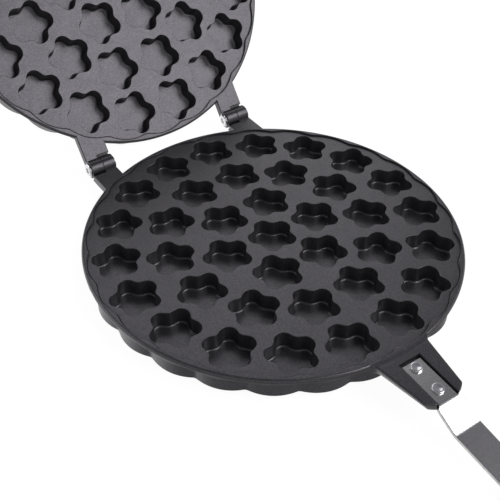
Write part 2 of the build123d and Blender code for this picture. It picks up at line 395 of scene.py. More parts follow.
def rim_rows():
    """From the web's edge up the step, over the rolled rim, down the skirt and in below."""
    line = scalloped(round_turn, scallop_depth, skirt_softness)
    field = scalloped(round_turn, field_scallop, field_softness)
    rows = []
    foot = field - step_inset - step_run
    for inwards, share in groove_line:
        rows.append(ring(foot - inwards, -field_depth - step_groove * share))
    for drop, back in quarter(4):
        rows.append(ring(field - step_inset - step_lip * (1 - back), -step_lip * (1 - drop)))
    for out, drop in quarter(7):
        rows.append(ring(rim_radius - rim_edge * (1 - out), -rim_drop * drop))
    for share in np.linspace(0, 1, blend_rows)[1:]:
        radius = rim_radius + (line - rim_radius) * eased(share)
        rows.append(ring(radius, -rim_drop - (skirt_top - rim_drop) * share))
    for drop, back in quarter(7):
        rows.append(ring(line - skirt_edge * back, -plate_height + skirt_edge * (1 - drop)))
    for share in under_shares:
        rows.append(ring(share * (line - skirt_edge), -plate_height))
    return np.array(rows)


rim = rim_rows()
print("rim grid", rim.shape[:2])

# %% [markdown]
# ## Web between the cells
# The web is the flat face between the mouths of the cells and the step. Its outline
# has 38 loops, which no grid can follow. It is flat, though, so its triangles may
# have any shape and still shade alike: a Delaunay triangulation that keeps the
# loops as edges fills it, and what lies inside a mouth is dropped.

# %% Web
def web(cups, edge):
    """Flat triangles at the web's level, inside its edge and outside the mouths."""
    loops = [edge[:, :2]] + [cup[0, :, :2] for cup in cups]
    starts = np.cumsum([0] + [len(loop) for loop in loops])
    faces = [list(range(a, b)) for a, b in zip(starts[:-1], starts[1:])]
    flat = [Vector(p) for p in np.concatenate(loops)]
    placed, _, triangles, _, _, owners = delaunay_2d_cdt(flat, [], faces, 1, 1e-6)
    kept = [t for t, owner in zip(triangles, owners) if owner == [0]]
    points = np.column_stack((np.array([tuple(p) for p in placed]), np.full(len(placed), -field_depth)))
    points[:len(flat), :2] = np.concatenate(loops)
    return points, np.array(kept)


web_patch = web(cups, rim[0])
disc = [grid(rim, wrap=True), web_patch] + [grid(cup, wrap=True) for cup in cups]
print(len(web_patch[1]), "web triangles")

# %% [markdown]
# ## Hinge arms and knuckles
# Each plate has two arms, flush with its parting face. One half of an arm runs on
# to the pin and ends in a knuckle; the other is hollowed out to let the other
# plate's knuckle turn. A boolean could carve both from a block. They are prisms
# instead, because an outline that shrinks along its own normals towards each end
# gives every edge its round at once.

# %% Prisms with rounded edges
def normals_of(outline):
    """Outward normals of a closed counter-clockwise outline, even at its corners."""
    edge = np.roll(outline, -1, axis=0) - outline
    edge = np.column_stack((edge[:, 1], -edge[:, 0])) / np.linalg.norm(edge, axis=1)[:, None]
    both = edge + np.roll(edge, 1, axis=0)
    return both / (both * edge).sum(axis=1)[:, None]


def prism(outline, low, high, edge, axes, between=0):
    """Outline in two axes, carried along the third and shrunk by a quarter round at each end."""
    normal = normals_of(outline)
    rows = []
    steps = [(edge * drop, low + edge * (1 - out)) for out, drop in reversed(quarter())]
    steps += [(0.0, along) for along in np.linspace(low + edge, high - edge, between + 2)[1:-1]]
    steps += [(edge * drop, high - edge * (1 - out)) for out, drop in quarter()]
    for inset, along in steps:
        ring_points = np.empty((len(outline), 3))
        ring_points[:, axes[0]] = outline[:, 0] - inset * normal[:, 0]
        ring_points[:, axes[1]] = outline[:, 1] - inset * normal[:, 1]
        ring_points[:, axes[2]] = along
        rows.append(ring_points)
    rows = np.array(rows)
    return [grid(rows, wrap=True), cap(rows[0]), cap(rows[-1])]


def arc(centre, radius, first, last, count):
    """Points on a circle between two angles in degrees."""
    angle = np.radians(np.linspace(first, last, count))
    return np.column_stack((centre[0] + radius * np.cos(angle), centre[1] + radius * np.sin(angle)))


print("a quarter round has", len(quarter()), "rows")

# %% [markdown]
# ## Arm and knuckle
# The arm's outline is an L, prismed upwards. Its root then slides along each row
# until it meets the rim's arc, and lower down the skirt, and its cut-back end is
# pressed hollow round the other plate's knuckle. The knuckle is a disc's outline
# prismed along the pin.

# %% Arms and knuckles
hinge_middles = [sum(v[0] for v in box_mm(side + "_hinge_pin")) / 2 for side in ("left", "right")]
hinge_width = 16.0
knuckle_radius = 5.4
knuckle_clearance = 1.3
knuckle_gap = 0.4
knuckle_edge = 0.35
barrel_columns = 72
rubbed_depth = 0.06         # points this close to the knuckle's round count as rubbed
arm_thickness = 5.0
arm_edge = 0.6
arm_rows = 7
flush = 0.012               # a hair below the rim, so that no two faces lie in one plane
root_radius = rim_radius - rim_edge - 0.02
skirt_root_radius = 100.3   # the arm runs in under the rim, below the web, as far as the skirt


def arm(middle):
    """L-shaped arm, hollowed behind the other plate's knuckle, and its own knuckle round the pin."""
    left, right = middle - hinge_width / 2, middle + hinge_width / 2
    split = middle + knuckle_gap / 2
    cut_back = hinge_y - knuckle_radius - knuckle_clearance
    root = [math.sqrt(root_radius**2 - x**2) for x in (right, left)]
    plan = np.array([
        (right, root[0]), (right, hinge_y), (split, hinge_y),
        (split, cut_back), (left, cut_back), (left, root[1]),
    ])
    points, faces = prism(plan, -arm_thickness, -flush, arm_edge, (0, 1, 2), arm_rows)[0]
    rows = points.reshape(-1, len(plan), 3)
    reach = np.where(rows[..., 2] > -2 * field_depth, root_radius, skirt_root_radius)
    roots = [0, -1]
    rows[:, roots, 1] = np.sqrt(reach[:, roots] ** 2 - rows[:, roots, 0] ** 2)
    cut_ends = [3, 4]
    hollow = knuckle_radius + knuckle_clearance
    rows[:, cut_ends, 1] += hollow - np.sqrt(hollow**2 - (rows[:, cut_ends, 2] - closed_gap / 2) ** 2)
    barrel = arc((hinge_y, closed_gap / 2), knuckle_radius, 0, 360, barrel_columns + 1)[:-1]
    knuckle = prism(barrel, split, right + flush, knuckle_edge, (1, 2, 0))
    return [(rows.reshape(-1, 3), faces), cap(rows[0]), cap(rows[-1])] + knuckle


def knuckle_polish(points):
    """1 on the round of the knuckles, which rub bare of their grain, 0 elsewhere."""
    reach = np.hypot(points[:, 1] - hinge_y, points[:, 2] - closed_gap / 2)
    return (np.abs(reach - knuckle_radius) < rubbed_depth).astype(float)


arms = [patch for middle in hinge_middles for patch in arm(middle)]
print("hinges stand at", [round(m, 1) for m in hinge_middles])

# %% [markdown]
# ## Tongue
# The tongue carries the strap. It is cast on to the plate, so it flows out of the
# rim through a fillet. A box with a slot cut in it would meet the round rim with a
# hard seam. Here the half width, the top and the seat's floor are each a function
# of the place along the handle, which lets every one of them follow the rim's arc.

# %% Plan and slopes of the tongue
tongue_root, tongue_end = 16.5, 11.6    # half widths
tongue_length = 30.9
corner_length, corner_width = 2.8, 4.4
corner_blend, corner_power = 0.5, 1.35   # the bevel starts as a curve
root_fillet = 4.0
root_splay = 1.2            # inside the rim the root widens at this rate
top_drop, ramp_length = 0.3, 2.0
top_slope = math.tan(math.radians(3.0))
tang_slope = math.tan(math.radians(3.2))
tang_drop = 1.65
tongue_end_y = -(rim_radius + tongue_length)
tang_end_y = box_mm("lower_strap")[1][1]


def tang_top(y):
    """Height of the tang's top face."""
    return tang_slope * (y - tang_end_y) - tang_drop


def tongue_half(y):
    """Half width: fillet out of the rim, straight taper, then the end's bevel."""
    lean = (tongue_root - tongue_end) / tongue_length
    width = tongue_root + lean * (y + rim_radius)
    square = math.sqrt(1 + lean * lean)
    offset = tongue_root + lean * rim_radius + root_fillet * square
    reach = rim_radius + root_fillet
    root = math.sqrt((offset * lean) ** 2 - square**2 * (offset**2 - reach**2))
    centre_y = (-offset * lean - root) / square**2
    centre_x = offset + lean * centre_y
    touch_line = centre_y + root_fillet * lean / square
    touch_rim = centre_y * rim_radius / reach
    inside = np.clip(y, touch_line, touch_rim) - centre_y
    bulge = centre_x - np.sqrt(np.maximum(root_fillet**2 - inside**2, 0))
    width = np.where(y > touch_line, bulge, width)
    width = np.where(y > touch_rim, bulge - root_splay * (y - touch_rim), width)
    bevel = corner_length + corner_blend
    past = np.clip((tongue_end_y + bevel - y) / bevel, 0, 1)
    return width - (corner_width - lean * corner_length) * past**corner_power


def tongue_top(x, y):
    """Flush under the rim, then a smooth step that follows the rim's arc, then a gentle fall."""
    share = np.clip((np.hypot(x, y) - rim_radius + rim_edge) / (rim_edge + ramp_length), 0, 1)
    return -flush - top_drop * eased(share) - top_slope * np.maximum(-rim_radius - ramp_length - y, 0)


print("the tongue is", round(2 * float(tongue_half(-rim_radius)), 1), "mm wide where it leaves the rim")

# %% [markdown]
# ## Section of the tongue
# Across the handle the tongue is a U: two cheeks beside an open seat for the strap,
# upright sides that lean in a little, and a tapered underside. Its points are
# written once for the right half and mirrored. Near the rim the whole section is
# bowed along the rim's arc, so that its first row lies on the rim.

# %% One section
tongue_wall = 4.0
side_tuck = 1.0             # the sides lean in on their way down
tongue_web = 3.0
under_taper = math.tan(math.radians(30.0))
strap_thickness = 2.0
seat_inset, seat_half = 4.8, 6.7
cheek_edge, seat_edge, under_edge, end_edge = 1.0, 0.45, 0.8, 0.35
settling_rounds = 5         # the side's place and the width there depend on each other
seat_y = -(rim_radius + seat_inset)


def tongue_section(y, open_seat, inset, bow):
    """Right half of the U, over the cheek and down below; bow bends it along the rim's arc."""
    def bowed(x):
        """The section's own y plus its share of the rim's sagitta at x."""
        return y + bow * (rim_radius - np.sqrt(rim_radius**2 - x * x))

    side_y = y
    for _ in range(settling_rounds):
        side_y = bowed(tongue_half(side_y))
    half = tongue_half(side_y) - inset
    room = half - seat_half
    rise = min(seat_edge, 0.25 * room)
    round_off = min(cheek_edge, 0.45 * room)
    floor = tang_top(y) - strap_thickness - inset
    under = tang_top(y) - strap_thickness - tongue_web + inset
    foot = half - side_tuck
    tuck = foot - under_taper * (-tongue_wall - under)
    seat_x = np.array([0.0, seat_half * 0.5, seat_half, seat_half])
    inner = [(seat_half + rise * (1 - out), -rise * drop) for out, drop in reversed(quarter(4))]
    outer = [(half - round_off * (1 - out), -round_off * drop) for out, drop in quarter(6)]
    cheek_x, cheek_z = np.array(inner + outer).T
    cheek_z = cheek_z + tongue_top(cheek_x, bowed(cheek_x)) - inset
    seat_z = np.array([floor, floor, floor, cheek_z[0] - 0.05])
    low_x = np.array([foot + 0.05, foot - 0.1, tuck + 0.3, tuck - under_edge, tuck * 0.5, 0.0])
    low_z = np.array([-tongue_wall + 0.2, -tongue_wall - 0.2, under + 0.5, under, under, under])
    x = np.concatenate((seat_x, cheek_x, low_x))
    z = np.concatenate((seat_z, cheek_z, low_z))
    if not open_seat:
        covered = len(seat_x) + len(inner)
        z[:covered] = tongue_top(x[:covered], bowed(x[:covered])) - inset
    return np.column_stack((x, bowed(x), z))


outline = tongue_section(tongue_end_y, True, 0.0, 0.0)
print("the tongue's end is", round(float(np.ptp(outline[:, 2])), 1), "mm thick")

# %% [markdown]
# ## Rows of the tongue
# The sections follow each other closely at the root, where the outline bends round
# the rim. At the closed end of the seat two of them share a place, one covered and
# one open, and the face between them is the seat's end wall.

# %% All sections
root_rows, side_rows, corner_rows = 26, 12, 12


def tongue_rows():
    """Whole sections from inside the rim to the rounded outer end; the seat opens at its closed end."""
    root_y = -root_radius
    plain = np.linspace(root_y, seat_y, root_rows)
    slotted = np.concatenate((
        [seat_y],
        np.linspace(seat_y - 1, tongue_end_y + corner_length + 1.6, side_rows),
        np.linspace(tongue_end_y + corner_length + corner_blend, tongue_end_y + 0.4, corner_rows),
    ))
    stations = [(y, False, 0.0) for y in plain] + [(y, True, 0.0) for y in slotted]
    for out, inset in quarter(4)[1:]:
        stations.append((tongue_end_y + end_edge * (1 - out), True, end_edge * inset))
    rows = []
    for y, open_seat, inset in stations:
        bow = np.clip((y - seat_y) / (root_y - seat_y), 0, 1) ** 0.5
        right = tongue_section(y, open_seat, inset, bow)
        left = right[-2:0:-1] * (-1, 1, 1)
        rows.append(np.concatenate((right, left)))
    return np.array(rows)


tongue = tongue_rows()
tongue_patches = [grid(tongue, wrap=True), cap(tongue[0]), cap(tongue[-1])]
print("tongue grid", tongue.shape[:2])

# %% [markdown]
# ## Building blocks for finishes
# Every finish here is a principled shader with noise in front of it. Image textures
# would need their own map on each piece, while noise on Object coordinates has a
# real size in millimetres and fits any shape. A few small helpers wire the nodes.

# %% Material helpers
def grey(value):
    """A colour with three equal parts."""
    return (value,) * 3


def new_material(name):
    """An empty node material with its shader, and a noise source on Object coordinates."""
    material = bpy.data.materials.new(name)
    material.use_nodes = True
    nodes, links = material.node_tree.nodes, material.node_tree.links
    shader = nodes["Principled BSDF"]
    place = nodes.new("ShaderNodeTexCoord")
    return material, nodes, links, shader, place.outputs["Object"]


def noise(nodes, links, place, size_mm, detail=2.0):
    """Noise whose features are about size_mm across."""
    mapping = nodes.new("ShaderNodeMapping")
    mapping.inputs["Scale"].default_value = [1 / (size_mm * MM)] * 3
    links.new(place, mapping.inputs["Vector"])
    texture = nodes.new("ShaderNodeTexNoise")
    texture.inputs["Scale"].default_value = 1.0
    texture.inputs["Detail"].default_value = detail
    links.new(mapping.outputs["Vector"], texture.inputs["Vector"])
    return texture.outputs["Fac"]


def ramp(nodes, links, source, stops):
    """Colour ramp through (place, colour) stops."""
    node = nodes.new("ShaderNodeValToRGB")
    elements = node.color_ramp.elements
    while len(elements) < len(stops):
        elements.new(0.5)
    for element, (position, colour) in zip(elements, stops):
        element.position = position
        element.color = (*colour, 1)
    links.new(source, node.inputs["Fac"])
    return node.outputs["Color"]


print("noise of", 1.0, "mm has a scale of", round(1 / MM), "per metre")

# %% [markdown]
# ## Blends and bumps
# A finish changes where it is rubbed, so one helper blends a socket towards a fixed
# colour. The other stacks bumps. Each bump node takes the normal of the one before,
# so coarse and fine relief add up as they do on a real surface.

# %% Blends and bumps
mix_share, mix_before, mix_after, mix_result = 0, 6, 7, 2   # the Mix node's sockets for colours


def mixed(nodes, links, share, before, after):
    """Blends a colour socket towards a fixed colour by a share socket."""
    node = nodes.new("ShaderNodeMix")
    node.data_type = "RGBA"
    links.new(share, node.inputs[mix_share])
    links.new(before, node.inputs[mix_before])
    node.inputs[mix_after].default_value = (*after, 1)
    return node.outputs[mix_result]


def bump(nodes, links, shader, sources, flat=None):
    """Adds up (height, strength, distance in mm) bumps in front of the shader, fading where flat is 1."""
    last = None
    for height, strength, distance in sources:
        node = nodes.new("ShaderNodeBump")
        node.inputs["Strength"].default_value = strength
        node.inputs["Distance"].default_value = distance * MM
        if flat is not None:
            height = mixed(nodes, links, flat, height, grey(0.5))
        links.new(height, node.inputs["Height"])
        if last is not None:
            links.new(last, node.inputs["Normal"])
        last = node.outputs["Normal"]
    links.new(last, shader.inputs["Normal"])


print("bump distances are given in mm and set in metres, times", MM)

# %% [markdown]
# ## Non-stick coating
# The castings wear a matt non-stick coating: almost black, with the broad soft
# sheen of a fine-grained paint. A plain dark shader looks like plastic film. So a
# fine noise makes the grain in the bump and speckles the colour, another varies
# how strongly single flecks shine, and a slow one clouds the roughness. Where the
# piece's polish is 1 the grain fades out and the colour is deeper.

# %% Coating
def coating():
    """Near-black matt coating with a fine grain and a faint speckle."""
    material, nodes, links, shader, place = new_material("nonstick_coating")
    grain = noise(nodes, links, place, 0.7, detail=3.0)
    cloud = noise(nodes, links, place, 9.0)
    colour = ramp(nodes, links, grain, [(0.35, (0.014, 0.0137, 0.015)), (0.68, (0.034, 0.033, 0.036))])
    worn = nodes.new("ShaderNodeAttribute")
    worn.attribute_name = "polish"
    colour = mixed(nodes, links, worn.outputs["Fac"], colour, (0.010, 0.010, 0.011))
    links.new(colour, shader.inputs["Base Color"])
    rough = ramp(nodes, links, cloud, [(0.3, grey(0.30)), (0.7, grey(0.35))])
    rough = mixed(nodes, links, worn.outputs["Fac"], rough, grey(0.30))
    links.new(rough, shader.inputs["Roughness"])
    fleck = noise(nodes, links, place, 0.8)
    gloss = ramp(nodes, links, fleck, [(0.32, grey(0.38)), (0.68, grey(0.64))])
    links.new(gloss, shader.inputs["Specular IOR Level"])
    shader.inputs["IOR"].default_value = 1.75
    shader.inputs["Specular Tint"].default_value = (0.95, 0.91, 1.0, 1)
    bump(nodes, links, shader, [(grain, 0.7, 0.04)], worn.outputs["Fac"])
    return material


coat = coating()
print("coating has", len(coat.node_tree.nodes), "nodes")

# %% [markdown]
# ## Both plates
# Disc, arms, knuckles and tongue are one casting, so their patches go into one
# piece. The same patches, placed twice, give both plates, and each rides on its
# own body so that the hinge can turn the lid.

# %% Both plates
for half, body, place in halves:
    plate = new_piece(half + "_plate_casting", disc + arms + tongue_patches, place, knuckle_polish)
    finish_piece(plate, body, half + "_plate", coat)

# %% [markdown]
# ## Strap
# The strap is flat stainless bar, bent in a press. A curve with a bevel could draw
# it, but the curve would round its bends anyhow and know nothing of the tang. So
# its top line is worked out as a few straights joined by true arcs.

# %% Bent line
bend_radius = 8.0


def bent_line(corners, radius, steps=13):
    """Straights joined by arcs: for each station its place and direction, in the (y, z) plane."""
    corners = np.array(corners, float)
    runs = np.diff(corners, axis=0)
    runs /= np.linalg.norm(runs, axis=1)[:, None]
    places, directions = [corners[0]], [runs[0]]
    for corner, before, after in zip(corners[1:-1], runs[:-1], runs[1:]):
        turn = math.atan2(before[0] * after[1] - before[1] * after[0], before @ after)
        reach = radius * math.tan(abs(turn) / 2)
        centre = corner - before * reach + math.copysign(radius, turn) * np.array((-before[1], before[0]))
        for share in np.linspace(0, turn, steps):
            spin = np.array([[math.cos(share), -math.sin(share)], [math.sin(share), math.cos(share)]])
            heading = spin @ before
            places.append(centre - math.copysign(radius, turn) * np.array((-heading[1], heading[0])))
            directions.append(heading)
    return np.array(places + [corners[-1]]), np.array(directions + [runs[-1]])


print("the bar is bent round", bend_radius, "mm")

# %% [markdown]
# ## Width of the strap
# The tang is narrower than the bar and lies in the tongue's seat. Two bars of
# different width could be joined, but the real one is cut from one strip, with
# rounded shoulders. So the half width is a function of the distance from the plate,
# and extra rows at the shoulders keep their small radius crisp.

# %% Half width of the strap
strap_far_y = box_mm("lower_strap")[0][1]
grip_low, grip_high = box_mm("lower_grip")
mouth_y, grip_end_y = grip_high[1], grip_low[1]
tang_half, strap_half, strap_grip_half = 6.0, 7.9, 7.4
shoulder_gap, shoulder_radius = 0.75, 2.0
shoulder_step = 0.2         # at its shoulders the bar starts this much inside the tang
crank_length, crank_drop = 12.9, 6.2
neck_length, neck_drop = 32.4, 4.0
strap_edge = 0.45
shoulder_y = tongue_end_y - shoulder_gap
shoulder_rows = np.array([-0.01, 0.0, 0.08, 0.25, 0.6, 1.0, 1.5, 2.0, 5.0, 9.0])  # past the shoulders


def strap_half_at(y):
    """Half width: narrow tang, rounded shoulders, then a slow taper towards the grip."""
    past = shoulder_y - y
    short = np.clip(shoulder_radius - past, 0, None)
    round_off = shoulder_radius - np.sqrt(np.maximum(shoulder_radius**2 - short**2, 0))
    taper = np.clip((past - crank_length) / (shoulder_y - mouth_y - crank_length), 0, 1)
    bar = strap_half - round_off - (strap_half - strap_grip_half) * taper
    return np.where(past > 0, np.maximum(bar, tang_half - shoulder_step), tang_half)


print("the bar runs from", round(2 * strap_half, 1), "to", round(2 * strap_grip_half, 1), "mm wide")

# %% [markdown]
# ## Sections along the strap
# Each section is a rectangle with quarter rounds at its corners, hung below the top
# line and turned square to it. Sorting the extra rows in with the bends' own rows
# keeps the grid in order from the plate to the grip.

# %% Strap
def rounded_box(half_width, half_height, radius, steps=4):
    """A rectangle's outline with quarter rounds at its corners."""
    corners = []
    for x, z, first in ((1, 1, 0), (-1, 1, 90), (-1, -1, 180), (1, -1, 270)):
        centre = (x * (half_width - radius), z * (half_height - radius))
        corners.append(arc(centre, radius, first, first + 90, steps))
    return np.concatenate(corners)


def strap_rows():
    """Sections square to the bent line, refined at the shoulders."""
    level = tang_top(shoulder_y) - crank_drop - neck_drop
    crank_end = shoulder_y - crank_length
    corners = [
        (tang_end_y, -tang_drop),
        (shoulder_y, tang_top(shoulder_y)),
        (crank_end, tang_top(shoulder_y) - crank_drop),
        (crank_end - neck_length, level),
        (strap_far_y, level),
    ]
    places, directions = bent_line(corners, bend_radius)
    extra = shoulder_y - shoulder_rows
    more = np.column_stack((extra, np.interp(-extra, -places[:, 0], places[:, 1])))
    heading = np.column_stack([np.interp(-extra, -places[:, 0], directions[:, i]) for i in (0, 1)])
    order = np.argsort(-np.append(places[:, 0], extra), kind="stable")
    places = np.concatenate((places, more))[order]
    directions = np.concatenate((directions, heading))[order]
    directions /= np.linalg.norm(directions, axis=1)[:, None]
    up = np.column_stack((directions[:, 1], -directions[:, 0]))
    rows = []
    for (y, z), (up_y, up_z) in zip(places, up):
        section = rounded_box(float(strap_half_at(np.array(y))), strap_thickness / 2, strap_edge)
        sunk = section[:, 1] - strap_thickness / 2
        rows.append(np.column_stack((section[:, 0], y + sunk * up_y, z + sunk * up_z)))
    return np.array(rows)


strap = strap_rows()
strap_patches = [grid(strap, wrap=True), cap(strap[0]), cap(strap[-1])]
print("strap grid", strap.shape[:2])

# %% [markdown]
# ## Round parts
# Rivets, pins and screws are turned or pressed, so each is a profile spun round an
# axis. Blender's Spin and Screw tools do the same, but would leave the seam and the
# poles to be closed by hand. Here the last column joins the first, and the weld
# draws each end into one point.

# %% Spun pieces
def spun(profile, columns, frame_of):
    """Profile of (radius, height) spun round an axis; frame_of maps the axis's frame to the casting's."""
    profile = np.array(profile, float)
    angle = np.linspace(0, 2 * math.pi, columns, endpoint=False)
    radius, height = profile[:, :1], profile[:, 1:]
    x, y = radius * np.cos(angle), radius * np.sin(angle)
    z = np.broadcast_to(height, x.shape)
    points = np.stack((x, y, z), axis=-1)
    return grid(frame_of(points.reshape(-1, 3)).reshape(points.shape), wrap=True)


def rounded_disc(radius, low, high, edge_low, edge_high):
    """Profile of a disc from its lower centre to its upper centre, both rims rounded."""
    profile = [(0, low), (radius * 0.5, low)]
    profile += [(radius - edge_low * (1 - out), low + edge_low * drop) for out, drop in quarter()]
    profile += [(radius - edge_high * drop, high - edge_high * (1 - out)) for out, drop in quarter()]
    return profile + [(radius * 0.5, high), (0, high)]


print("a full disc's profile has", len(rounded_disc(1.0, 0.0, 1.0, 0.1, 0.1)), "points")

# %% [markdown]
# ## Strap rivets
# Two rivets clamp the tang to the tongue. The rivet set leaves a rounded edge and a
# shallow dish in each head, and the dish is what catches a dark and a bright half.
# Only heads and tails are modelled, since nothing shows of the shank between them.

# %% Rivets
rivet_columns = 48
rivet_first, rivet_pitch = 3.6, 14.4
rivet_head_radius, rivet_head_height = 3.1, 1.1
rivet_tail_radius, rivet_tail_height = 3.0, 1.1
rivet_sink = 0.1            # heads and tails reach this far into the metal
head_edge, tail_edge, sunk_edge = 0.45, 0.5, 0.05
dish_profile = [(1.9, 1.06), (1.5, 0.96), (1.0, 0.88), (0.5, 0.85), (0, 0.84)]  # radius, height


def on_tang(y):
    """Frame on the tang's top at y, its third axis square to the tang."""
    tilt = math.atan(tang_slope)

    def placed(p):
        """Turns the points by the tang's tilt and moves them to its top."""
        return np.column_stack((
            p[:, 0],
            y + p[:, 1] * math.cos(tilt) - p[:, 2] * math.sin(tilt),
            tang_top(y) + p[:, 1] * math.sin(tilt) + p[:, 2] * math.cos(tilt),
        ))
    return placed


def rivet_patches():
    """Two dished heads on the tang and two flat tails under the tongue."""
    patches = []
    below = -strap_thickness - tongue_web
    head = rounded_disc(rivet_head_radius, -rivet_sink, rivet_head_height, sunk_edge, head_edge)[:-2]
    tail_low, tail_high = below - rivet_tail_height, below + rivet_sink
    tail = rounded_disc(rivet_tail_radius, tail_low, tail_high, tail_edge, sunk_edge)
    for number in range(2):
        seat = on_tang(tang_end_y - rivet_first - rivet_pitch * number)
        patches += [spun(head + dish_profile, rivet_columns, seat), spun(tail, rivet_columns, seat)]
    return patches


rivets = rivet_patches()
print("each strap has", len(rivets) // 2, "rivets")

# %% [markdown]
# ## Hinge pins
# Each hinge turns on a tubular rivet. Its head is a ring with a wide dimple and a
# bevel round it, and its tail is rolled over a thin lip. The pin's length and place
# come from its solid, so it always fits between the knuckles.

# %% Pins
pin_columns = 56
pin_head_radius, pin_shank_radius, pin_tail_radius = 4.2, 2.8, 3.8
pin_head_edge, pin_head_back = 0.8, 1.0     # end of the bevel and back of the head
pin_dimple = [(0, 0.75), (1.2, 0.75), (1.5, 0.62), (1.62, 0.3), (1.75, 0.06), (1.95, 0.0)]
pin_bevel = [(3.1, 0.0), (3.3, 0.04), (3.5, 0.16), (3.75, 0.36), (4.05, 0.62)]
pin_tail_depth, pin_tail_edge = 0.7, 0.4


def pin_patches(node):
    """Profile of (radius, distance from the head's face) spun round the hinge's axis."""
    low, high = box_mm(node)
    left, length = low[0], high[0] - low[0]
    tail_front = length - pin_tail_depth
    profile = pin_dimple + pin_bevel
    profile += [(pin_head_radius, pin_head_edge), (pin_head_radius, pin_head_back)]
    profile += [(pin_shank_radius, pin_head_back + 0.05), (pin_shank_radius, tail_front - 0.05)]
    profile += [(pin_tail_radius, tail_front)]
    for out, drop in quarter():
        profile.append((pin_tail_radius - pin_tail_edge * drop, length - pin_tail_edge * (1 - out)))
    profile += [(1.9, length), (1.5, length - 0.5), (0, length - 0.6)]

    def along(p):
        """Lays the profile's height along the pin."""
        return np.column_stack((left + p[:, 2], hinge_y + p[:, 0], hinge_z + p[:, 1]))
    return [spun(profile, pin_columns, along)]


pins = {side: pin_patches(side + "_hinge_pin") for side in ("left", "right")}
print("pins:", ", ".join(pins))

# %% [markdown]
# ## Bright metal
# Stainless bar has a mill finish: a tight mirror broken by fine grain and specks.
# Rivets and pins are brighter, with the coarser dents that pressing leaves. All are
# full metals, so nearly all that shows is what they reflect, and a colour alone
# would look like grey paint. One function makes them all, from a tint, a roughness
# and a grain.

# %% Metals
def metal(name, tint, shade, rough_low, rough_high, grain_mm, grain_depth, relief=0.25):
    """Bare metal whose roughness and bump wander with a fine grain."""
    material, nodes, links, shader, place = new_material(name)
    shader.inputs["Metallic"].default_value = 1.0
    grain = noise(nodes, links, place, grain_mm, detail=3.0)
    colour = ramp(nodes, links, grain, [(0.3, shade), (0.6, tint)])
    links.new(colour, shader.inputs["Base Color"])
    rough = ramp(nodes, links, grain, [(0.35, grey(rough_high)), (0.65, grey(rough_low))])
    links.new(rough, shader.inputs["Roughness"])
    bump(nodes, links, shader, [(grain, relief, grain_depth)])
    return material


stainless = metal(
    "stainless_bar", tint=(0.64, 0.63, 0.62), shade=(0.46, 0.45, 0.47),
    rough_low=0.15, rough_high=0.24, grain_mm=0.9, grain_depth=0.006,
)
bright_steel = metal(
    "bright_steel", tint=(0.82, 0.82, 0.84), shade=(0.70, 0.70, 0.72),
    rough_low=0.08, rough_high=0.18, grain_mm=1.3, grain_depth=0.06, relief=0.8,
)
zinc = metal(
    "zinc_plate", tint=(0.62, 0.62, 0.64), shade=(0.50, 0.50, 0.52),
    rough_low=0.22, rough_high=0.36, grain_mm=0.5, grain_depth=0.01,
)
print("metals:", stainless.name, bright_steel.name, zinc.name)

# %% [markdown]
# ## Steel parts in place
# Straps and rivets come once for each half. The pins stay fast in the lower plate's
# knuckles, so they ride on its body while the lid turns about them.

# %% Straps, rivets and pins
for half, body, place in halves:
    bar = new_piece(half + "_strap_bar", strap_patches, place)
    finish_piece(bar, body, half + "_strap", stainless)
    pair = new_piece(half + "_strap_rivet_pair", rivets, place)
    finish_piece(pair, body, half + "_strap_rivets", bright_steel)
for side, patches in pins.items():
    pin = new_piece(side + "_hinge_rivet", patches)
    finish_piece(pin, "base", side + "_hinge_pin", bright_steel)

# %% [markdown]
# ## Grips
# A moulded grip is flat on the side that meets its twin and crowned on the side
# that fills the palm. Subdividing a box would give a soft bar with no true face.
# Its section is a superellipse with a squarer upper half instead, and its half
# width follows a waist, a belly and a round end.

# %% Grip surface
grip_face = grip_high[2] - parting_z
grip_outer = grip_low[2] - parting_z
neck_half, belly_half, end_half = 10.5, 13.5, 12.0
belly_at = 55.0             # from the mouth to the widest place
grip_edge = 1.5
face_share = 0.36           # how much of the thickness lies above the widest line
face_power, crown_power = 2 / 5.0, 2 / 2.4  # the smaller, the squarer
end_power = 8               # how squarely the thickness runs out at the round end
grip_columns, grip_stations, end_stations = 64, 40, 12


def grip_half_at(y):
    """Half width along the grip: a quarter sine up to the belly, a quarter cosine down to the end."""
    along = (mouth_y - y) / (mouth_y - grip_end_y - end_half)
    peak = belly_at / (mouth_y - grip_end_y - end_half)
    rise = np.clip(along / peak, 0, 1) * math.pi / 2
    fall = np.clip((along - peak) / (1 - peak), 0, 1) * math.pi / 2
    before = neck_half + (belly_half - neck_half) * np.sin(rise)
    after = end_half + (belly_half - end_half) * np.cos(fall)
    return np.where(along < peak, before, after)


